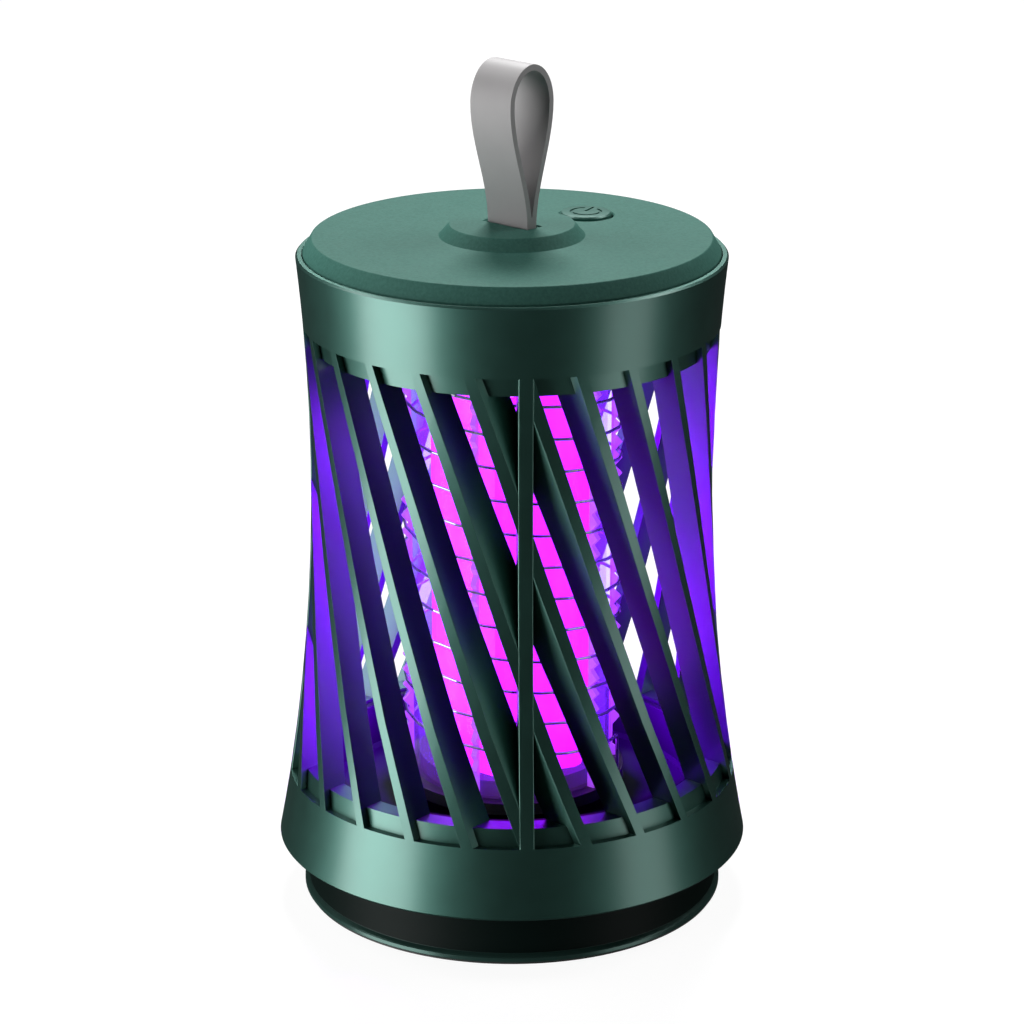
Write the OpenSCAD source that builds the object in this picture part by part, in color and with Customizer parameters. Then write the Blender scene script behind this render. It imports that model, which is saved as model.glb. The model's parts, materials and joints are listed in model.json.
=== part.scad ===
// Cordless electric bug zapper with a UV lamp, two high-voltage wire windings,
// a slatted cage, a push-fit insect tray and a flexible carrying strap.
// Millimetres. +Z is up, the origin is the centre of the surface it stands on,
// and -Y is the front. Angles run from the front towards +X.

/* [Cage profile] */
// Smallest outside radius, at the waist
waist_r = 50; // [48:0.5:52]
// Height of the waist above the table
waist_z = 112; // [108:1:116]
// Radius of the arc that the side follows
flare_r = 505; // [480:5:540]
// Height of the flared lower edge
cage_low_z = 14.5; // [14:0.25:15]
// Height of the cage's top rim
cage_top_z = 166.2; // [165.8:0.1:166.4]
// Wall thickness of the mouldings
wall = 2.2; // [1.8:0.1:2.4]

/* [Window] */
// Top of the smooth lower band
low_band_z = 32; // [31.5:0.25:32.5]
// Lower edge of the open window
window_low_z = 36.4; // [36:0.1:36.8]
// Upper edge of the open window
window_high_z = 143.9; // [143.7:0.1:144.2]
// Underside of the smooth upper band
high_band_z = 148.7; // [148:0.1:149.4]
// Set-back of the strips next to the window
band_step = 1.9; // [1:0.1:2.2]

/* [Slats] */
// Number of leaning slats
slat_count = 24; // [18:2:26]
// Turn of a slat between its top and its foot
slat_twist = 45; // [36:1:50]
// Thickness of a slat
slat_t = 2.5; // [1.8:0.1:2.8]
// Depth of a slat towards the lamp
slat_depth = 7.2; // [6:0.2:7.6]
// Number of upright ribs
rib_count = 4; // [3:1:6]
// Width of an upright rib
rib_w = 3.6; // [2.5:0.1:4.5]
// Angle of the first rib from the front
rib_angle = 3.7; // [0:0.1:7]

/* [Cover, strap and button] */
// Height of the flat top
cover_top_z = 170.3; // [170:0.1:170.6]
// Height of the strap boss above the flat top
boss_h = 2.9; // [2:0.1:3.5]
// Width of the strap band
strap_w = 13; // [11:0.5:14]
// Thickness of the strap band
strap_t = 1.5; // [1.2:0.1:1.6]
// Height of the strap loop above the boss
strap_h = 40; // [34:1:46]
// Half of the loop's greatest width
strap_half = 7.8; // [6.5:0.1:9]
// Turn of the strap's plane about the upright axis
strap_turn = 48; // [40:1:55]
// Radius of the button cap
button_r = 6.4; // [6:0.1:6.5]
// Travel of the button
button_travel = 0.6; // [0.4:0.1:0.7]

/* [Lamp and electrodes] */
// Outside radius of the clear lamp tube
tube_r = 25.2; // [24:0.1:25.2]
// Radius of the wire windings
winding_r = 27.2; // [27:0.1:27.3]
// Thickness of the electrode wire
wire_d = 0.8; // [0.6:0.1:0.9]
// Rise of one wire in one turn
winding_pitch = 16.35; // [15:0.05:18]
// Angles of the six insulating combs
comb_angles = [-80, -20, 50, 100, 160, 220];

/* [Tray] */
// Radius of the tray's standing lip
lip_r = 53.3; // [52.8:0.1:54]
// Radius of the tray's outer wall
tray_r = 52.2; // [51.5:0.1:52.2]
// Radius of the spigot that enters the cage
spigot_r = 48.4; // [48:0.1:48.5]
// Height of the tray's floor
tray_floor_z = 24; // [22:0.5:24]

/* [Hidden] */

$fn = 96;
green = [0.16, 0.36, 0.32];
grey = [0.5, 0.5, 0.5];
steel = [0.75, 0.76, 0.78];
clear = [0.8, 0.75, 0.95, 0.4];
slack = 0.3;
// Cage rings
bore_r = 48.9;
inner_wall_r = 50.9;
inner_wall_z = 17.3;
flange_r = 41;
deck_z = 146;
rebate_z = 162.9;
rim_r = 51.4;
channel_rib_count = 12;
channel_rib_t = 1.6;
channel_z = 34.2;
rib_depth = slat_depth + 0.3;
// Slats, in four sectors between the ribs: a sector's slats lie parallel to its middle direction
slat_rise = high_band_z - low_band_z;
slat_steps = 4;
sector = 360 / rib_count;
// Top housing
cover_t = 2;
ceiling_z = cover_top_z - cover_t;
boss_top_z = cover_top_z + boss_h;
cover_r = 51.1;
deck_top_z = deck_z + 2;
post_r = 43.4;
post_angles = [77.9, 129.3, 240, 294.3];
screw_r = 1.15;
button_pos = [18.4, 20.5];
button_hole_r = button_r + 0.4;
stem_z = 163;
stem_h = 1.6;
board_z = 158.6;
board_t = 1.6;
board_top_z = board_z + board_t;
board_posts = [[-26, 14], [26, 14], [-22, 36], [22, 36]];
port_z = board_top_z + 1.6;
port_w = 8.9;
port_h = 3.2;
indicator_angle = 169;
cell_r = 9.2;
cell_l = 65;
cell_pos = [-20.5, 157.4];
strap_screw_x = 11;
retainer_z = 164;
foot_z = 165.5;
// Lamp
tube_low_z = 32;
tube_high_z = 143;
disc_r = 28.4;
disc_t = 3;
comb_t = 1.4;
comb_root_r = 26;
comb_tip_r = 27.9;
winding_low_z = 41.7;
winding_end_angle = 75;
winding_turns = 6;
turn_steps = 24;
wire_sides = 8;
bend_r = 1.5;
bend_steps = 4;
tooth_pitch = winding_pitch / 4;
tooth_count = 25;
// Tray
tray_top_z = 35.8;
shoulder_z = 16.9;
cup_r = 46.3;
seal_z = 27;
seal_r = 0.9;
seal_centre_r = bore_r - 0.05 - seal_r;

// Outside radius of the cage at height z
function cage_r(z) = waist_r + flare_r - sqrt(pow(flare_r, 2) - pow(z - waist_z, 2));
// Points down or up the cage's side, moved inwards by inset
function side(z0, z1, steps, inset = 0) =
    [for (i = [0:steps]) let (z = z0 + (z1 - z0) * i / steps) [cage_r(z) - inset, z]];
// Edge of the strip that is set back next to the window
function band_edge(z) = [cage_r(z) - band_step, z];
function smooth(x) = x * x * (3 - 2 * x);
function polar(r, angle, z) = [r * sin(angle), -r * cos(angle), z];

// Children stand at the front and are turned to the given angle
module around(angle) {
    rotate([0, 0, angle]) children();
}

module screw(head_r, head_h, length) {
    difference() {
        union() {
            cylinder(r = head_r, h = head_h, $fn = 32);
            translate([0, 0, -length]) cylinder(r = screw_r, h = length, $fn = 32);
        }
        for (turn = [0, 90])
            translate([0, 0, head_h]) rotate([0, 0, turn])
                cube([head_r * 1.3, 0.6, head_h], center = true);
    }
}

// A closed tube through rings of points
module tube_mesh(rings, sides) {
    count = len(rings);
    polyhedron(
        points = [for (ring = rings) each ring],
        faces = concat(
            [[for (j = [0:sides - 1]) j]],
            [for (i = [0:count - 2], j = [0:sides - 1])
                let (a = i * sides + j, b = i * sides + (j + 1) % sides)
                [a, a + sides, b + sides, b]],
            [[for (j = [sides - 1:-1:0]) (count - 1) * sides + j]]));
}

// ---- Cage: two rings joined by leaning slats and upright ribs, all one moulding ----

module port_slot(w, h, depth) {
    for (s = [-1, 1])
        translate([s * (w - h) / 2, 0, 0]) rotate([-90, 0, 0]) cylinder(d = h, h = depth, $fn = 32);
    translate([-(w - h) / 2, 0, -h / 2]) cube([w - h, depth, h]);
}

module upper_ring() color(green) {
    difference() {
        rotate_extrude($fn = 120) polygon(concat(
            [[flange_r, window_high_z], band_edge(window_high_z), band_edge(high_band_z)],
            side(high_band_z, cage_top_z - 0.5, 5),
            [[cage_r(cage_top_z) - 0.5, cage_top_z], [rim_r, cage_top_z], [rim_r, rebate_z],
             [49.4, rebate_z], [49.4, 151.7], [47.2, 149.5], [47.2, deck_z], [flange_r, deck_z]]));
        translate([0, 45, port_z]) port_slot(port_w + 2 * slack, port_h + 2 * slack, 10);
        translate([0, 51.6, port_z]) port_slot(12.5, 6.5, 4);
        around(indicator_angle)
            translate([0, -60, port_z]) rotate([-90, 0, 0]) cylinder(r = 1.1, h = 20, $fn = 24);
        for (angle = post_angles)
            around(angle) translate([0, -post_r, 140]) cylinder(r = 1.4, h = 8, $fn = 24);
    }
}

module lower_ring() color(green) {
    rotate_extrude($fn = 120) polygon(concat(
        [[cage_r(cage_low_z) - 0.5, cage_low_z]],
        side(cage_low_z + 0.5, low_band_z, 5),
        [band_edge(low_band_z), band_edge(window_low_z),
         [bore_r, window_low_z], [bore_r, inner_wall_z], [inner_wall_r, inner_wall_z],
         [inner_wall_r, channel_z], [52.2, channel_z], [53.6, 30]],
        side(29, cage_low_z, 4, wall)));
    channel_ribs();
}

// Stiffening ribs in the channel under the lower ring
module channel_ribs() {
    intersection() {
        rotate_extrude($fn = 120)
            polygon([[inner_wall_r - 1, 18], [inner_wall_r - 1, 35], [53, 35], [55.5, 30],
                [57.4, 18]]);
        for (i = [0:channel_rib_count - 1])
            around(i * 360 / channel_rib_count)
                translate([-channel_rib_t / 2, -60, 0]) cube([channel_rib_t, 20, 60]);
    }
}

// Space between the rings that slats and ribs may fill, with the given depth
module side_envelope(depth) {
    rotate_extrude($fn = 120) polygon(concat(
        side(low_band_z, high_band_z, 10),
        [band_edge(high_band_z), band_edge(window_high_z)],
        side(window_high_z, window_low_z, 8, depth),
        [band_edge(window_low_z), band_edge(low_band_z)]));
}

// Angle of a slat's middle line at height z, and the height at which it has a given angle
function slat_angle(i, z) =
    rib_angle + i * 360 / slat_count + slat_twist * (high_band_z - z) / slat_rise;
function slat_height(i, angle) =
    high_band_z - (angle - slat_angle(i, high_band_z)) * slat_rise / slat_twist;

// Outline of one slat as seen along its sector's middle direction
module slat_outline(i, middle) {
    z0 = max(low_band_z - 3, slat_height(i, middle + sector / 2 + 3));
    z1 = min(high_band_z + 3, slat_height(i, middle - sector / 2 - 3));
    heights = [for (k = [0:slat_steps]) z0 + (z1 - z0) * k / slat_steps];
    places = [for (z = heights) cage_r(z) * sin(slat_angle(i, z) - middle)];
    polygon(concat(
        [for (k = [0:slat_steps]) [places[k] + slat_t / 2, heights[k]]],
        [for (k = [slat_steps:-1:0]) [places[k] - slat_t / 2, heights[k]]]));
}

// Plan of one sector, bounded by the sides of its two ribs
module sector_plan() {
    start = rib_w / 2 / sin(sector / 2);
    reach = 90 * tan(sector / 2);
    polygon([[0, -start], [-reach, -90 - start], [reach, -90 - start]]);
}

module cage_slats() color(green) {
    for (n = [0:rib_count - 1], i = [-slat_count:slat_count - 1]) {
        middle = rib_angle + (n + 0.5) * sector;
        if (slat_height(i, middle + sector / 2) < high_band_z
            && slat_height(i, middle - sector / 2) > low_band_z)
            around(middle) intersection() {
                side_envelope(slat_depth);
                linear_extrude(200) sector_plan();
                translate([0, -25, 0]) rotate([90, 0, 0]) linear_extrude(40)
                    slat_outline(i, middle);
            }
    }
}

module rib_bars() {
    for (i = [0:rib_count - 1])
        around(rib_angle + i * sector) translate([-rib_w / 2, -70, 0]) cube([rib_w, 40, 200]);
}

module cage_ribs() color(green) {
    intersection() {
        side_envelope(rib_depth);
        rib_bars();
    }
}

// ---- Top cover and what it carries ----

module top_cover() color(green) {
    difference() {
        union() {
            rotate_extrude($fn = 120) polygon([[0, ceiling_z], [0, boss_top_z], [15.3, boss_top_z],
                [15.6, boss_top_z - 0.3], [17.9, cover_top_z], [48.8, cover_top_z],
                [49.1, cover_top_z - 0.2], [51.1, 166.6], [cover_r, rebate_z + 0.2],
                [cover_r - 1.4, rebate_z + 0.2], [cover_r - 1.4, 166], [48.6, ceiling_z]]);
            for (angle = post_angles)
                around(angle) translate([0, -post_r, deck_top_z])
                    cylinder(r = 3, h = ceiling_z - deck_top_z + 1, $fn = 32);
            rotate([0, 0, strap_turn])
                for (s = [-1, 1])
                    translate([0, s * strap_screw_x, foot_z])
                        cylinder(r = 2.6, h = ceiling_z - foot_z + 1, $fn = 32);
        }
        translate([button_pos[0], button_pos[1], 160]) cylinder(r = button_hole_r, h = 20);
        translate([button_pos[0], button_pos[1], cover_top_z - 0.4])
            cylinder(r1 = button_hole_r, r2 = button_hole_r + 0.8, h = 0.8);
        rotate([0, 0, strap_turn]) {
            translate([-2.2, -strap_w / 2 - 0.5, 160]) cube([4.4, strap_w + 1, 20]);
            translate([-2.7, -strap_w / 2 - 1, boss_top_z - 0.4]) cube([5.4, strap_w + 2, 2]);
            for (s = [-1, 1])
                translate([0, s * strap_screw_x, foot_z - 1]) cylinder(r = 1.2, h = 4.4, $fn = 24);
        }
        for (angle = post_angles)
            around(angle) translate([0, -post_r, deck_top_z - 1]) cylinder(r = 1.2, h = 11, $fn = 24);
        translate([0, 42, port_z]) port_slot(port_w + 2 * slack, port_h + 2 * slack, 12);
    }
}

module electronics_deck() color(green) {
    difference() {
        union() {
            translate([0, 0, deck_z + 0.05]) cylinder(r = 47, h = deck_top_z - deck_z - 0.1);
            for (p = board_posts)
                translate([p[0], p[1], deck_top_z - 0.5])
                    cylinder(r = 2.6, h = board_z - deck_top_z + 0.5, $fn = 32);
        }
        for (p = board_posts)
            translate([p[0], p[1], board_z - 6]) cylinder(r = 1.2, h = 8, $fn = 24);
        for (angle = post_angles)
            around(angle) translate([0, -post_r, deck_z - 1]) cylinder(r = 1.4, h = 5, $fn = 24);
        for (angle = [90, 180, 270])
            around(angle) translate([0, -18, deck_z - 1]) cylinder(r = 1.4, h = 5, $fn = 24);
        for (angle = [winding_end_angle, winding_end_angle + 180])
            around(angle) translate([0, -winding_r, deck_z - 1]) cylinder(r = 1.6, h = 5, $fn = 24);
    }
}

module cover_screws() color(steel) {
    for (angle = post_angles)
        around(angle) translate([0, -post_r, window_high_z]) rotate([180, 0, 0]) screw(2.3, 1.6, 12);
}

module circuit_board() color([0.1, 0.4, 0.2]) {
    difference() {
        translate([0, 0, board_z]) intersection() {
            cylinder(r = 46, h = board_t);
            translate([-30, 5, 0]) cube([60, 60, board_t]);
        }
        for (p = board_posts)
            translate([p[0], p[1], board_z - 1]) cylinder(r = 1.4, h = 4, $fn = 24);
    }
}

module board_screws() color(steel) {
    for (p = board_posts)
        translate([p[0], p[1], board_top_z]) screw(2.2, 1.3, 6);
}

module switch_body() color([0.15, 0.15, 0.16]) {
    translate([button_pos[0], button_pos[1], board_top_z]) difference() {
        translate([-3, -3, 0]) cube([6, 6, 3.4]);
        translate([0, 0, stem_z - board_top_z - button_travel - 0.2]) cylinder(r = 1.78, h = 3, $fn = 32);
    }
}

module switch_stem() color([0.75, 0.3, 0.1]) {
    translate([button_pos[0], button_pos[1], stem_z]) cylinder(r = 1.7, h = stem_h, $fn = 32);
}

module controller_chip() color([0.08, 0.08, 0.09]) {
    translate([-10, 20, board_top_z + 0.6]) cube([5, 5, 1.2], center = true);
    translate([2, 16, board_top_z + 0.5]) cube([5, 4, 1], center = true);
    translate([-17, 30, board_top_z + 0.5]) cube([3, 3, 1], center = true);
}

module hv_transformer() color([0.85, 0.7, 0.2]) {
    translate([-12, 18, board_z - 4.6]) {
        cube([13, 4, 9.2], center = true);
        cube([6, 11, 7], center = true);
    }
}

module hv_capacitors() color([0.7, 0.35, 0.1]) {
    for (x = [2, 10])
        translate([x, 30, board_z - 4]) cube([5, 11, 8], center = true);
    translate([-10, 33, board_z - 8]) cylinder(r = 3.2, h = 8, $fn = 32);
}

module usb_port() color(steel) {
    translate([0, 43, port_z]) difference() {
        port_slot(port_w, port_h, 7.4);
        translate([0, 1, 0]) port_slot(port_w - 0.7, port_h - 0.7, 8);
    }
    translate([-3.2, 43.5, port_z - 0.35]) cube([6.4, 5.6, 0.7]);
}

module charge_indicator() color([0.9, 0.95, 0.9]) {
    around(indicator_angle)
        translate([0, -52.4, port_z]) rotate([-90, 0, 0]) cylinder(r = 1, h = 3.6, $fn = 24);
}

module battery_holder() color([0.12, 0.12, 0.13]) {
    difference() {
        translate([-33.9, cell_pos[0] - 10, deck_top_z]) cube([67.8, 20, 6]);
        translate([-33, cell_pos[0], cell_pos[1]]) rotate([0, 90, 0])
            cylinder(r = cell_r + 0.05, h = 66);
    }
}

module battery_cell() color([0.2, 0.45, 0.75]) {
    translate([-cell_l / 2, cell_pos[0], cell_pos[1]]) rotate([0, 90, 0]) {
        cylinder(r = cell_r, h = cell_l - 1);
        translate([0, 0, cell_l - 1]) cylinder(r = 2.8, h = 1, $fn = 32);
    }
}

// Insulated leads from the board down to the tops of the two windings
module hv_leads() color([0.8, 0.1, 0.1]) {
    start_a = polar(winding_r, winding_end_angle, tube_high_z + 0.1);
    start_b = polar(winding_r, winding_end_angle + 180, tube_high_z + 0.1);
    lead(concat([start_a, start_a + [0, 0, 7], start_a + [-0.5, 2, 10]],
        [start_a + [-1.5, 9, 14], start_a + [-2, 12.5, 15.2]]));
    lead([start_b, start_b + [0, 0, 8], start_b + [0, 0, 15.3]]);
}

module lead(points) {
    rings = [for (p = points) [for (j = [0:7]) p + 0.7 * [cos(j * 45), sin(j * 45), 0]]];
    tube_mesh(rings, 8);
}

// ---- Strap: a flat band doubled into a loop, with both ends under the cover ----

function strap_edge(h) = h < 30
    ? strap_t + 0.1 + (strap_half - strap_t - 0.1) * smooth(h / 30)
    : strap_half * sqrt(max(0, 1 - pow((h - 30) / (strap_h - 30), 2)));
function strap_inner(h) = h < 30
    ? strap_edge(h) - strap_t
    : (strap_half - strap_t) * sqrt(max(0, 1 - pow((h - 30) / (strap_h - 30 - strap_t), 2)));
function loop_side(top, steps) = concat(
    [for (i = [0:steps]) 30 * i / steps],
    [for (i = [1:steps]) 30 + (top - 30) * sin(90 * i / steps)]);

module strap_loop() color(grey) {
    outer = loop_side(strap_h, 14);
    inner = [for (h = loop_side(strap_h - strap_t, 14)) if (h > 3) h];
    translate([0, 0, boss_top_z]) rotate([0, 0, strap_turn]) rotate([90, 0, 0])
        linear_extrude(strap_w, center = true) difference() {
            union() {
                polygon(concat([for (h = outer) [strap_edge(h), h]],
                    [for (i = [len(outer) - 2:-1:0]) [-strap_edge(outer[i]), outer[i]]]));
                circle(r = strap_t + 0.1, $fn = 32);
            }
            polygon(concat([[0, 2.2]], [for (h = inner) [strap_inner(h), h]],
                [for (i = [len(inner) - 2:-1:0]) [-strap_inner(inner[i]), inner[i]]]));
        }
}

module strap_tail() color(grey) {
    rotate([0, 0, strap_turn]) {
        translate([-1.5, -strap_w / 2, foot_z]) cube([3, strap_w, boss_top_z - foot_z - 1.9]);
        translate([-3.6, -7.6, foot_z + 0.05]) cube([7.2, 15.2, ceiling_z - foot_z - 0.15]);
    }
}

module strap_retainer() color([0.15, 0.15, 0.16]) {
    difference() {
        rotate([0, 0, strap_turn]) translate([-5, -14, retainer_z]) cube([10, 28, foot_z - retainer_z]);
        rotate([0, 0, strap_turn])
            for (s = [-1, 1])
                translate([0, s * strap_screw_x, retainer_z - 1]) cylinder(r = 1.4, h = 4, $fn = 24);
    }
}

module strap_screws() color(steel) {
    rotate([0, 0, strap_turn])
        for (s = [-1, 1])
            translate([0, s * strap_screw_x, retainer_z]) rotate([180, 0, 0]) screw(2.1, 1.2, 4.6);
}

// ---- Lamp core, hung from the deck ----

module lamp_head() color([0.12, 0.13, 0.14]) {
    difference() {
        union() {
            translate([0, 0, tube_high_z]) cylinder(r = disc_r, h = deck_z - tube_high_z);
            translate([0, 0, tube_high_z - 4]) cylinder(r = tube_r - 1.6, h = 4.5);
        }
        for (angle = [90, 180, 270])
            around(angle) translate([0, -18, tube_high_z - 3]) cylinder(r = 1.2, h = 8, $fn = 24);
        for (angle = [winding_end_angle, winding_end_angle + 180])
            around(angle) translate([0, -winding_r, tube_high_z - 1]) cylinder(r = 0.85, h = 8, $fn = 24);
    }
}

module lamp_screws() color(steel) {
    for (angle = [90, 180, 270])
        around(angle) translate([0, -18, deck_top_z]) screw(2.2, 1.4, 6);
}

module lamp_tube() color(clear) {
    translate([0, 0, tube_low_z]) difference() {
        cylinder(r = tube_r, h = tube_high_z - tube_low_z);
        translate([0, 0, -1]) cylinder(r = tube_r - 1.5, h = tube_high_z - tube_low_z + 2);
    }
}

module light_guide() color([1, 0.2, 1]) {
    rotate([0, 0, -98]) translate([0, 0, tube_low_z + 4.1]) difference() {
        cylinder(r = 21.5, h = 98.6, $fn = 6);
        translate([0, 0, -1]) cylinder(r = 20, h = 101, $fn = 6);
    }
}

module led_board() color([0.9, 0.9, 0.92]) {
    translate([-7, -0.8, tube_low_z + 4.1]) cube([14, 1.6, 102.8]);
}

module uv_leds() color([0.85, 0.6, 1]) {
    for (s = [-1, 1], i = [0:7])
        translate([0, s * 1.4, 44 + i * 12]) cube([5, 1.2, 5], center = true);
}

module lamp_foot() color([0.12, 0.13, 0.14]) {
    difference() {
        union() {
            translate([0, 0, tube_low_z - disc_t]) cylinder(r = disc_r, h = disc_t);
            translate([0, 0, tray_floor_z + 0.9]) cylinder(r = 12, h = 5);
            translate([0, 0, tube_low_z - 0.5]) cylinder(r = tube_r - 1.6, h = 4.5);
        }
        for (angle = [winding_end_angle, winding_end_angle + 180])
            around(angle + bend_angle())
                translate([0, -winding_r, tube_low_z - 1.5]) cylinder(r = 0.6, h = 8, $fn = 24);
    }
}

// Phase of the notches where the windings cross a comb
function notch_z(angle) =
    winding_low_z + winding_pitch * (winding_end_angle - angle) / 360;

module comb(angle) {
    first = notch_z(angle) - tooth_pitch * floor((notch_z(angle) - 37) / tooth_pitch);
    outline = concat(
        [[tube_r + 0.1, tube_low_z], [comb_tip_r - 0.6, tube_low_z], [comb_tip_r - 0.6, 34],
         [comb_root_r, 35]],
        [for (i = [0:tooth_count - 2]) each [
            [comb_root_r, first + i * tooth_pitch],
            [comb_tip_r, first + (i + 0.5) * tooth_pitch]]],
        [[comb_root_r, first + (tooth_count - 1) * tooth_pitch],
         [comb_root_r, 140.8], [comb_tip_r - 0.6, 141.6], [comb_tip_r - 0.6, tube_high_z],
         [tube_r + 0.1, tube_high_z]]);
    around(angle) rotate([0, 0, -90]) rotate([90, 0, 0])
        linear_extrude(comb_t, center = true) polygon(outline);
}

module electrode_comb(i) color(clear) comb(comb_angles[i]);

// Turn that a bend from sideways to upright covers
function bend_angle() = bend_r / winding_r * 180 / PI;
// One ring of the wire: its centre, with tilt 0 along the winding and 90 pointing down
function wire_ring(angle, z, tilt) =
    let (out = [sin(angle), -cos(angle), 0], along = [cos(angle), sin(angle), 0],
        across = sin(tilt) * along + [0, 0, cos(tilt)])
    [for (j = [0:wire_sides - 1])
        let (turn = j * 360 / wire_sides)
        winding_r * out + [0, 0, z] + wire_d / 2 * (cos(turn) * out + sin(turn) * across)];
function winding_rings(end_angle) =
    let (steps = winding_turns * turn_steps,
        start_angle = end_angle - winding_turns * 360,
        top_z = winding_low_z + winding_turns * winding_pitch)
    concat(
        [wire_ring(start_angle - bend_angle(), tube_high_z, 90)],
        [for (i = [0:bend_steps - 1]) let (t = 90 - 90 * i / bend_steps)
            wire_ring(start_angle - bend_angle() * sin(t), top_z + bend_r * (1 - cos(t)), t)],
        [for (i = [0:steps])
            wire_ring(start_angle + i * 360 / turn_steps, top_z - winding_pitch * i / turn_steps, 0)],
        [for (i = [1:bend_steps]) let (t = 90 * i / bend_steps)
            wire_ring(end_angle + bend_angle() * sin(t), winding_low_z - bend_r * (1 - cos(t)), t)],
        [wire_ring(end_angle + bend_angle(), tube_low_z - 1, 90)]);

module electrode_wire_a() color(steel) tube_mesh(winding_rings(winding_end_angle), wire_sides);
module electrode_wire_b() color(steel) tube_mesh(winding_rings(winding_end_angle + 180), wire_sides);

// ---- Power button ----

module power_button() color(green) {
    translate([button_pos[0], button_pos[1], 0]) difference() {
        union() {
            rotate_extrude() polygon([[0, 166.9], [button_r + 1.6, 166.9], [button_r + 1.6, 168.1],
                [button_r, 168.1], [button_r, 170.7], [button_r - 0.35, 171.05],
                [button_r - 1.2, 171.15], [0, 171.3]]);
            translate([0, 0, stem_z + stem_h]) cylinder(r = 2, h = 3, $fn = 32);
        }
        rotate([0, 0, -25]) power_mark();
    }
}

// Open ring with an upright bar, cut into the cap
module power_mark() {
    translate([0, 0, 170.85]) {
        difference() {
            cylinder(r = 4, h = 1);
            translate([0, 0, -1]) cylinder(r = 3.3, h = 3);
            translate([-1.6, 0, -1]) cube([3.2, 6, 3]);
        }
        translate([-0.35, -0.4, 0]) cube([0.7, 5, 1]);
    }
}

// ---- Insect tray ----

module insect_tray() color(green) {
    difference() {
        union() {
            rotate_extrude($fn = 120) polygon([[0, tray_floor_z], [cup_r - 1, tray_floor_z],
                [cup_r, tray_floor_z + 1], [cup_r, tray_top_z - 0.3], [cup_r + 0.3, tray_top_z],
                [spigot_r - 0.3, tray_top_z], [spigot_r, tray_top_z - 0.3], [spigot_r, shoulder_z],
                [tray_r - 0.4, shoulder_z], [tray_r, shoulder_z - 0.4], [tray_r, 2.6],
                [lip_r - 0.3, 2.1], [lip_r, 1.8], [lip_r, 0.9], [lip_r - 0.4, 0.5],
                [50.4, 0.5], [50, 0.9], [50, 14.9], [46, 14.9], [46, 22], [0, 22]]);
            for (i = [0:3])
                rotate([0, 0, i * 45]) translate([-46.5, -0.8, 15]) cube([93, 1.6, 8]);
            translate([0, 0, 14]) cylinder(r = 7, h = 9);
        }
        rotate_extrude($fn = 120) translate([seal_centre_r, seal_z]) circle(r = seal_r + 0.1, $fn = 24);
        rotate_extrude($fn = 120) translate([50.85, 0]) square([1.9, 1.2]);
    }
}

module tray_seal() color([0.1, 0.1, 0.1]) {
    rotate_extrude($fn = 120) translate([seal_centre_r, seal_z]) circle(r = seal_r, $fn = 24);
}

module grip_ring() color([0.1, 0.1, 0.1]) {
    rotate_extrude($fn = 120) translate([50.9, 0]) square([1.8, 1.2]);
}

upper_ring();
lower_ring();
cage_slats();
cage_ribs();
top_cover();
electronics_deck();
cover_screws();
circuit_board();
board_screws();
switch_body();
controller_chip();
hv_transformer();
hv_capacitors();
usb_port();
charge_indicator();
battery_holder();
battery_cell();
hv_leads();
strap_tail();
strap_retainer();
strap_screws();
lamp_head();
lamp_screws();
lamp_tube();
light_guide();
led_board();
uv_leds();
lamp_foot();
electrode_comb(0);  // electrode_comb_1
electrode_comb(1);  // electrode_comb_2
electrode_comb(2);  // electrode_comb_3
electrode_comb(3);  // electrode_comb_4
electrode_comb(4);  // electrode_comb_5
electrode_comb(5);  // electrode_comb_6
electrode_wire_a();
electrode_wire_b();
power_button();
switch_stem();
strap_loop();
insect_tray();
tray_seal();
grip_ring();
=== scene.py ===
"""Looks of the cordless electric bug zapper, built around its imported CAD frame. Metres, +Z up."""
import json
import math

import bmesh
import bpy
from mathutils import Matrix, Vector


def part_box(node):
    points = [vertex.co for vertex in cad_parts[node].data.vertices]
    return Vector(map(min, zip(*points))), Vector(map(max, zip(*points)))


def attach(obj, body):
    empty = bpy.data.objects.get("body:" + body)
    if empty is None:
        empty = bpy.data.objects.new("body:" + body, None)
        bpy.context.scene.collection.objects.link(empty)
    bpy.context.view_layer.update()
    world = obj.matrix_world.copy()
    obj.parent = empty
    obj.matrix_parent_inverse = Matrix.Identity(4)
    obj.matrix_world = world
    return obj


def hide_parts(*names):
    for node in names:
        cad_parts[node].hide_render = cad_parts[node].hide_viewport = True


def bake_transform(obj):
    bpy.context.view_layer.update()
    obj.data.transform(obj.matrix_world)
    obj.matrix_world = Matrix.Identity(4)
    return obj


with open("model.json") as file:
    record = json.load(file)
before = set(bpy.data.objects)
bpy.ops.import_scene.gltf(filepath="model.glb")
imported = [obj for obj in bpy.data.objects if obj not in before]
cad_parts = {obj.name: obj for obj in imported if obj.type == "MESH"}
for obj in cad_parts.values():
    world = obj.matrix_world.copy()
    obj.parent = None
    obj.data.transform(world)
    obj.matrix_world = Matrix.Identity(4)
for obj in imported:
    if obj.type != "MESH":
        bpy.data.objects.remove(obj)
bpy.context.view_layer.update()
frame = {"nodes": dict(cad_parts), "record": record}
scene = bpy.context.scene
MM = 0.001

# ---- Camera, fitted to the viewing angle ----
CAMERA_AT = (0.0, -0.8568, 0.3871)
CAMERA_PITCH = 18.582
FOCAL_LENGTH = 127.17
SENSOR_WIDTH = 36.0

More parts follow.
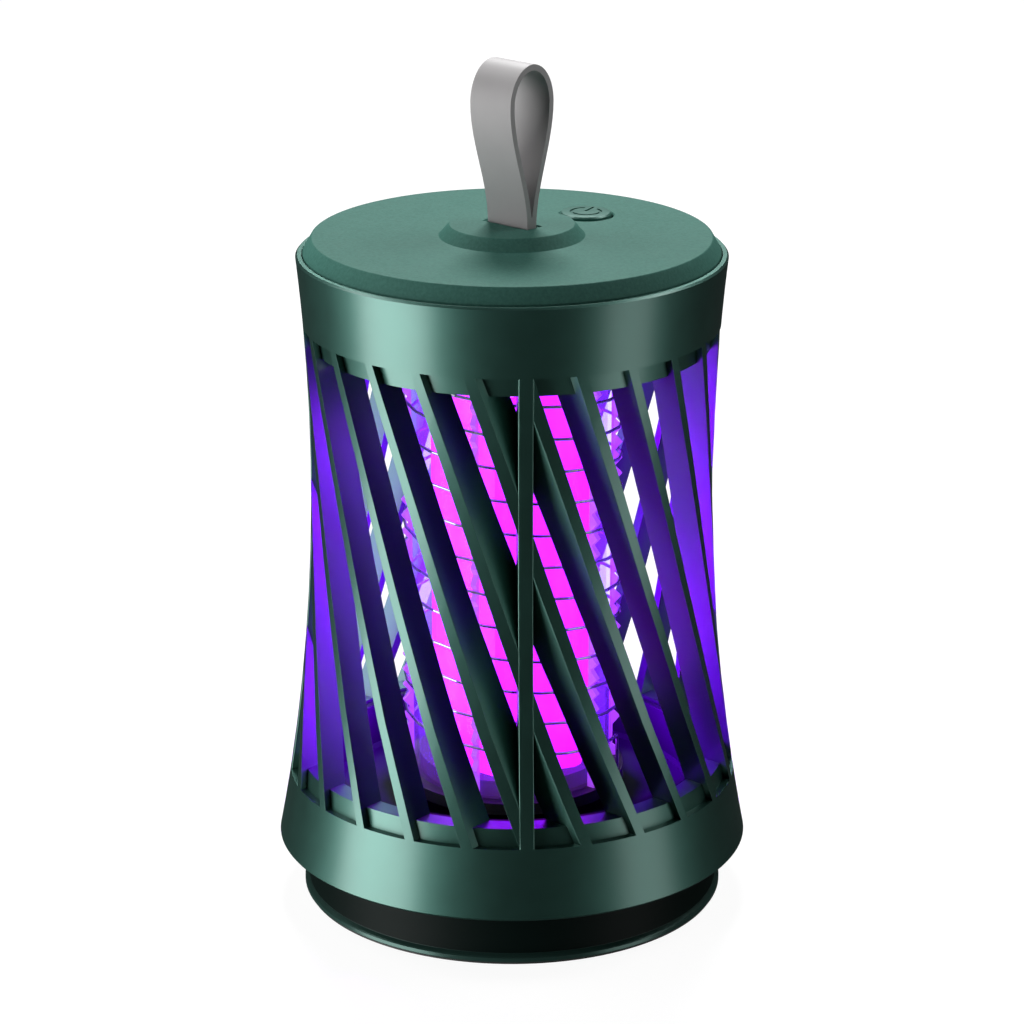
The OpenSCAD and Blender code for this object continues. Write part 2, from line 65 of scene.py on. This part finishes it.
# ---- Colours, linear ----
GREEN = (0.036, 0.112, 0.091)
GREEN_LIGHT = (0.043, 0.134, 0.109)
LID_GREEN = (0.037, 0.116, 0.094)
LID_GREEN_LIGHT = (0.049, 0.146, 0.119)
# Painted shade: near-black for the recess under the ring's overhang, above the tray's lip
TRAY_PAINTED_SHADE = (0.002, 0.006, 0.005)
TRAY_LIP = (0.030, 0.075, 0.063)
GREY = (0.340, 0.329, 0.333)
UV_GLOW = (0.36, 0.0, 1.0)
UV_STRENGTH = 4.6
SEAM_GLOW = (1.0, 0.42, 1.0)

# ---- Sizes that are not in the frame ----
LIP_TOP = 2.4 * MM

# ---- Rounding of edges ----
MERGE_DISTANCE = 0.002 * MM
FLAT_ANGLE = math.radians(0.3)
SHARP_ANGLE = math.radians(28)
SHORTEST_EDGE = 0.6 * MM

# ---- Stage ----
FLOOR_SIZE = 6.0
BACKDROP_RADIUS = 8.0
AIM_HEIGHT = 0.1
SPILL_RADIUS = 31 * MM
SPILL_HEIGHT = 82 * MM
SPILL_SIZE = (10 * MM, 95 * MM)
SPILL_POWER = 1.5


# ---- Materials ----

def new_material(name, **sockets):
    """A material with one Principled shader, and its constant values on the shader's own sockets."""
    material = bpy.data.materials.new(name)
    material.use_nodes = True
    shader = material.node_tree.nodes["Principled BSDF"]
    for key, value in sockets.items():
        shader.inputs[key.replace("_", " ")].default_value = value
    return material, material.node_tree, shader


def rgba(colour):
    return (*colour, 1.0)


def noise(tree, scale, detail=4.0, roughness=0.55):
    """Noise in object space, with scale in features per metre."""
    coordinates = tree.nodes.new("ShaderNodeTexCoord")
    texture = tree.nodes.new("ShaderNodeTexNoise")
    texture.inputs["Scale"].default_value = scale
    texture.inputs["Detail"].default_value = detail
    texture.inputs["Roughness"].default_value = roughness
    tree.links.new(coordinates.outputs["Object"], texture.inputs["Vector"])
    return texture.outputs["Fac"]


def ramp(tree, factor, low, high, start=0.3, end=0.7):
    node = tree.nodes.new("ShaderNodeValToRGB")
    node.color_ramp.elements[0].position = start
    node.color_ramp.elements[0].color = low
    node.color_ramp.elements[1].position = end
    node.color_ramp.elements[1].color = high
    tree.links.new(factor, node.inputs["Fac"])
    return node.outputs["Color"]


def spread(tree, factor, low, high):
    node = tree.nodes.new("ShaderNodeMapRange")
    node.inputs["To Min"].default_value = low
    node.inputs["To Max"].default_value = high
    tree.links.new(factor, node.inputs["Value"])
    return node.outputs["Result"]


def bump(tree, shader, height, strength, distance):
    node = tree.nodes.new("ShaderNodeBump")
    node.inputs["Strength"].default_value = strength
    node.inputs["Distance"].default_value = distance
    tree.links.new(height, node.inputs["Height"])
    tree.links.new(node.outputs["Normal"], shader.inputs["Normal"])


def textured(name, low, high, grain, rough, depth=0.00003, strength=0.25, mottle=45.0, **sockets):
    """A moulded or coated surface: colour variation, uneven gloss and fine grain."""
    material, tree, shader = new_material(name, **sockets)
    colour = ramp(tree, noise(tree, mottle, 3.0), rgba(low), rgba(high))
    tree.links.new(colour, shader.inputs["Base Color"])
    tree.links.new(spread(tree, noise(tree, 180.0), *rough), shader.inputs["Roughness"])
    bump(tree, shader, noise(tree, grain, 5.0, 0.65), strength, depth)
    return material


def lit(name, colour, strength, **sockets):
    """A surface that glows, a little unevenly along the lamp: the lamp's own glowing parts, and
    painted glow on the clear tube and the combs, which stands in for the lamp's light on them.
    """
    material, tree, shader = new_material(name, Emission_Color=rgba(colour), **sockets)
    uneven = spread(tree, noise(tree, 60.0, 2.0), strength * 0.92, strength * 1.08)
    tree.links.new(uneven, shader.inputs["Emission Strength"])
    return material


def metal(name, colour, roughness, grain):
    material, tree, shader = new_material(name, Base_Color=rgba(colour), Metallic=1.0)
    spread_out = spread(tree, noise(tree, grain), roughness * 0.8, roughness * 1.25)
    tree.links.new(spread_out, shader.inputs["Roughness"])
    bump(tree, shader, noise(tree, grain * 2.0), 0.15, 0.00002)
    return material


def tray_plastic_painted_shade():
    """Painted shade above the tray's lip: near-black and matt there for the shadowed recess under
    the overhanging ring; glossy green on the lip itself.
    """
    material, tree, shader = new_material("tray_plastic_painted_shade")
    coordinates = tree.nodes.new("ShaderNodeTexCoord")
    split = tree.nodes.new("ShaderNodeSeparateXYZ")
    tree.links.new(coordinates.outputs["Object"], split.inputs["Vector"])
    height = tree.nodes.new("ShaderNodeMapRange")
    height.inputs["From Min"].default_value = LIP_TOP
    height.inputs["From Max"].default_value = LIP_TOP + 0.4 * MM
    tree.links.new(split.outputs["Z"], height.inputs["Value"])
    above = height.outputs["Result"]
    # Painted shade: above the lip the colour turns near-black and loses most of its gloss, where the
    # overhanging ring shades the recess
    colour = ramp(tree, above, rgba(TRAY_LIP), rgba(TRAY_PAINTED_SHADE), 0.0, 1.0)
    tree.links.new(colour, shader.inputs["Base Color"])
    tree.links.new(spread(tree, above, 0.28, 0.5), shader.inputs["Roughness"])
    tree.links.new(spread(tree, above, 0.5, 0.06), shader.inputs["Specular IOR Level"])
    tree.links.new(spread(tree, above, 0.5, 0.0), shader.inputs["Metallic"])
    bump(tree, shader, noise(tree, 2600.0, 5.0, 0.65), 0.2, 0.00002)
    return material


def make_materials():
    return {
        "green_plastic": textured("green_plastic", GREEN, GREEN_LIGHT, 2600.0, (0.41, 0.47),
                                  Metallic=0.92, Specular_IOR_Level=0.5, Coat_Weight=0.9,
                                  Coat_Roughness=0.27),
        "lid_plastic": textured("lid_plastic", LID_GREEN, LID_GREEN_LIGHT, 1500.0, (0.56, 0.66),
                                depth=0.00009, strength=0.6, mottle=1300.0,
                                Specular_IOR_Level=0.08),
        "button_plastic": textured("button_plastic", LID_GREEN, LID_GREEN_LIGHT, 2600.0,
                                   (0.30, 0.36), Metallic=0.3, Specular_IOR_Level=0.5),
        "tray_plastic_painted_shade": tray_plastic_painted_shade(),
        "strap": textured("strap", (0.290, 0.281, 0.284), GREY, 3400.0, (0.50, 0.62),
                          depth=0.00002, Sheen_Weight=0.08),
        "black_rubber": textured("black_rubber", (0.012,) * 3, (0.02,) * 3, 2600.0, (0.6, 0.75)),
        "dark_plastic": textured("dark_plastic", (0.02, 0.02, 0.024), (0.035, 0.035, 0.04), 2200.0,
                                 (0.4, 0.5)),
        # Painted glow: the clear tube is no lamp; its faint violet emission stands in for the lamp's
        # light in it
        "clear_plastic": lit("clear_plastic", (0.40, 0.08, 1.0), 0.25,
                             Base_Color=rgba((0.35, 0.12, 0.95)), Alpha=0.20, Roughness=0.05,
                             IOR=1.49, Specular_IOR_Level=0.3),
        # Painted glow: the combs are no lamp; their violet emission stands in for the lamp's light
        # on them
        "comb_plastic_painted_glow": lit("comb_plastic_painted_glow", (0.50, 0.06, 1.0), 0.55,
                            Base_Color=rgba((0.55, 0.30, 0.90)), Alpha=0.82, Roughness=0.22),
        "glowing_guide": lit("glowing_guide", UV_GLOW, UV_STRENGTH, Base_Color=rgba((0.8, 0.2, 0.9)),
                             Roughness=0.3),
        "guide_seam": lit("guide_seam", SEAM_GLOW, 1.0, Base_Color=rgba((0.9, 0.7, 1.0)),
                          Roughness=0.2),
        "uv_led": lit("uv_led", (0.7, 0.2, 1.0), 3.0, Base_Color=rgba((0.8, 0.6, 0.95))),
        "lamp_board": textured("lamp_board", (0.68,) * 3, (0.76,) * 3, 1800.0, (0.2, 0.3)),
        "steel_wire": metal("steel_wire", (0.55, 0.56, 0.60), 0.28, 900.0),
        "screw_steel": metal("screw_steel", (0.50, 0.50, 0.52), 0.35, 1500.0),
        "port_steel": metal("port_steel", (0.70, 0.70, 0.72), 0.16, 1500.0),
        "board_green": textured("board_green", (0.02, 0.12, 0.05), (0.03, 0.17, 0.07), 1600.0,
                                (0.2, 0.3)),
        "component_black": textured("component_black", (0.015,) * 3, (0.025,) * 3, 2400.0,
                                    (0.4, 0.5)),
        "coil_yellow": textured("coil_yellow", (0.55, 0.38, 0.05), (0.65, 0.47, 0.08), 1400.0,
                                (0.25, 0.35)),
        "capacitor_orange": textured("capacitor_orange", (0.42, 0.14, 0.02), (0.52, 0.19, 0.03),
                                     1400.0, (0.2, 0.3)),
        "cell_sleeve": textured("cell_sleeve", (0.03, 0.09, 0.30), (0.04, 0.12, 0.36), 1400.0,
                                (0.2, 0.3)),
        "lead_red": textured("lead_red", (0.30, 0.01, 0.01), (0.38, 0.02, 0.02), 2000.0, (0.4, 0.5)),
        "indicator": textured("indicator", (0.60, 0.66, 0.60), (0.68, 0.74, 0.68), 2000.0,
                              (0.2, 0.3)),
    }


def paint(obj, *materials):
    obj.data.materials.clear()
    for material in materials:
        obj.data.materials.append(material)


# ---- Mesh helpers ----

def body_of_node(node):
    return next(name for name, nodes in frame["record"]["behaviour"]["bodies"].items()
                if node in nodes)


def slot_of_node(node):
    return next(s["material_slot"] for s in frame["record"]["subparts"] if s["node"] == node)


def finish_piece(obj, node):
    """Puts a finished piece on the body of the node that it replaces."""
    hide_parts(node)
    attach(obj, body_of_node(node))


def rounded_copy(node, width, keep_edge, segments=2):
    """The node's own shape with the chosen edges rounded by the given width."""
    mesh = frame["nodes"][node].data.copy()
    mesh.name = node + "_rounded"
    obj = bpy.data.objects.new(node + "_rounded", mesh)
    scene.collection.objects.link(obj)
    work = bmesh.new()
    work.from_mesh(mesh)
    bmesh.ops.remove_doubles(work, verts=work.verts, dist=MERGE_DISTANCE)
    bmesh.ops.dissolve_limit(work, angle_limit=FLAT_ANGLE, verts=work.verts, edges=work.edges)
    weight = work.edges.layers.float.new("bevel_weight_edge")
    for edge in work.edges:
        sharp = len(edge.link_faces) == 2 and edge.calc_face_angle(0.0) > SHARP_ANGLE
        rounded = sharp and keep_edge(edge)
        edge[weight] = 1.0 if rounded else 0.0
        edge.smooth = rounded or not sharp
    work.to_mesh(mesh)
    work.free()
    mesh.shade_smooth()
    rounding = obj.modifiers.new("rounding", "BEVEL")
    rounding.limit_method = "WEIGHT"
    rounding.width = width
    rounding.segments = segments
    rounding.use_clamp_overlap = True
    shading = obj.modifiers.new("shading", "WEIGHTED_NORMAL")
    shading.weight = 100
    shading.keep_sharp = True
    depsgraph = bpy.context.evaluated_depsgraph_get()
    finished = bpy.data.meshes.new_from_object(obj.evaluated_get(depsgraph))
    obj.modifiers.clear()
    obj.data = finished
    return obj


# ---- Pieces ----

def upright_in(low, high):
    """A test for edges that run up a slat or rib, between two heights."""
    margin = 0.5 * MM

    def test(edge):
        heights = [v.co.z for v in edge.verts]
        rise = abs(heights[0] - heights[1])
        return (rise > 0.6 * edge.calc_length() and min(heights) > low - margin
                and max(heights) < high + margin)
    return test


def any_edge(edge):
    """A test that leaves out only edges too short to round."""
    return edge.calc_length() > SHORTEST_EDGE


def make_cage(materials):
    """The slats and ribs, with the edges that run up them softened."""
    low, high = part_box("cage_slats")
    upright = upright_in(low.z, high.z)
    for node in ("cage_slats", "cage_ribs"):
        piece = rounded_copy(node, 0.25 * MM, upright)
        paint(piece, materials["green_plastic"])
        finish_piece(piece, node)


def make_lid(materials):
    """The cover and its button, with their edges softened."""
    for node, material, width in (("top_cover", "lid_plastic", 0.2 * MM),
                                  ("power_button", "button_plastic", 0.12 * MM)):
        piece = rounded_copy(node, width, any_edge)
        paint(piece, materials[material])
        finish_piece(piece, node)


def make_guide(materials):
    """The hexagonal light guide: six frosted faces with a bright moulded strip at each corner."""
    low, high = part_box("light_guide")
    strip_r = 21.5 * MM * 0.982
    wall = 1.5 * MM
    half_strip = 3.4
    first_corner = -98.0
    angles = []
    for corner in range(6):
        middle = first_corner + corner * 60
        angles += [middle - half_strip, middle + half_strip]
    work = bmesh.new()
    rings = []
    for inset, z in ((0, low.z), (0, high.z), (wall, high.z), (wall, low.z)):
        radius = strip_r - inset
        rings.append([work.verts.new((radius * math.cos(math.radians(angle)),
                                      radius * math.sin(math.radians(angle)), z))
                      for angle in angles])
    count = len(angles)
    for k in range(4):
        for i in range(count):
            j = (i + 1) % count
            face = work.faces.new((rings[k][i], rings[k][j], rings[(k + 1) % 4][j],
                                   rings[(k + 1) % 4][i]))
            face.material_index = 1 if k == 0 and i % 2 == 0 else 0
    bmesh.ops.recalc_face_normals(work, faces=work.faces)
    mesh = bpy.data.meshes.new("light_guide_lit")
    work.to_mesh(mesh)
    work.free()
    piece = bpy.data.objects.new("light_guide_lit", mesh)
    scene.collection.objects.link(piece)
    paint(piece, materials["glowing_guide"], materials["guide_seam"])
    finish_piece(piece, "light_guide")


def make_strap(materials):
    """The band above the cover, with its edges softened."""
    piece = rounded_copy("strap_loop", 0.3 * MM, any_edge, 3)
    paint(piece, materials["strap"])
    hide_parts("strap_loop")
    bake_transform(piece)


def paint_cad_nodes(materials):
    """Each node gets the material of its slot, except the combs and the tray."""
    special = {"electrode_comb_%d" % i: "comb_plastic_painted_glow" for i in range(1, 7)}
    special["insect_tray"] = "tray_plastic_painted_shade"
    for node, obj in frame["nodes"].items():
        paint(obj, materials[special.get(node, slot_of_node(node))])


# ---- Stage, light and camera ----

def stage_object(obj, shade, glow):
    """A white stage surface that neither tints nor lights the object."""
    material = new_material(obj.name + "_white", Base_Color=rgba((shade,) * 3), Roughness=0.9,
                            Specular_IOR_Level=0.0, Emission_Color=rgba((1, 1, 1)),
                            Emission_Strength=glow)[0]
    paint(obj, material)
    obj.visible_diffuse = False
    obj.visible_glossy = False
    obj.visible_shadow = False


def make_stage():
    bpy.ops.mesh.primitive_plane_add(size=FLOOR_SIZE, location=(0, 0, 0))
    bpy.context.object.name = "floor"
    stage_object(bpy.context.object, 0.12, 0.93)
    bpy.ops.mesh.primitive_uv_sphere_add(radius=BACKDROP_RADIUS, location=(0, 0, 0))
    bpy.context.object.name = "backdrop"
    stage_object(bpy.context.object, 0.0, 1.0)


def outward(azimuth):
    """Level direction at an azimuth in degrees, from the front towards +X."""
    turn = math.radians(azimuth)
    return Vector((math.sin(turn), -math.cos(turn), 0))


def area_light(name, size, power, place, aim):
    """A rectangular light at a place, shining along aim: sizes in metres, power in watts."""
    data = bpy.data.lights.new(name, "AREA")
    data.shape = "RECTANGLE"
    data.size, data.size_y = size
    data.energy = power
    light = bpy.data.objects.new(name, data)
    light.location = place
    light.rotation_euler = aim.to_track_quat("-Z", "Y").to_euler()
    light.visible_camera = False
    scene.collection.objects.link(light)
    return light


def make_light(name, azimuth, distance, height, size, power):
    """A soft box that faces the middle of the object."""
    place = outward(azimuth) * distance + Vector((0, 0, height))
    area_light(name, size, power, place, Vector((0, 0, AIM_HEIGHT)) - place)


def make_lamp_spill(azimuth):
    """The lamp's violet light on the inside of the cage: a thin panel that faces outwards."""
    place = outward(azimuth) * SPILL_RADIUS + Vector((0, 0, SPILL_HEIGHT))
    light = area_light("lamp_spill_%d" % azimuth, SPILL_SIZE, SPILL_POWER, place, outward(azimuth))
    light.data.color = UV_GLOW
    light.visible_glossy = False


def make_studio():
    """Tall side lights that reach below the floor, three over the lid, and the lamp's own spill."""
    world = bpy.data.worlds.new("studio")
    world.use_nodes = True
    background = world.node_tree.nodes["Background"]
    background.inputs["Color"].default_value = rgba((1, 1, 1))
    background.inputs["Strength"].default_value = 0.02
    scene.world = world
    make_light("key_left", -67, 1.1, -0.15, (0.85, 1.5), 20.5)
    make_light("fill_right", 66, 1.1, -0.15, (0.55, 1.5), 4.5)
    make_light("lid_back", 180, 0.70, 1.02, (0.35, 0.35), 17)
    make_light("lid_left", -108, 0.75, 1.0, (0.5, 0.5), 4.5)
    make_light("lid_right", 108, 0.75, 1.0, (0.5, 0.5), 4.5)
    for azimuth in (-115, -80, 80, 115, 180):
        make_lamp_spill(azimuth)
    scene.view_settings.view_transform = "Standard"


def make_camera():
    """The camera at the viewing angle that the constants above describe."""
    data = bpy.data.cameras.new("camera")
    data.lens = FOCAL_LENGTH
    data.sensor_width = SENSOR_WIDTH
    data.clip_end = 50.0
    camera = bpy.data.objects.new("camera", data)
    camera.location = CAMERA_AT
    camera.rotation_euler = (math.radians(90 - CAMERA_PITCH), 0, 0)
    scene.collection.objects.link(camera)
    scene.camera = camera


all_materials = make_materials()
paint_cad_nodes(all_materials)
make_cage(all_materials)
make_lid(all_materials)
make_guide(all_materials)
make_strap(all_materials)
make_stage()
make_studio()
make_camera()
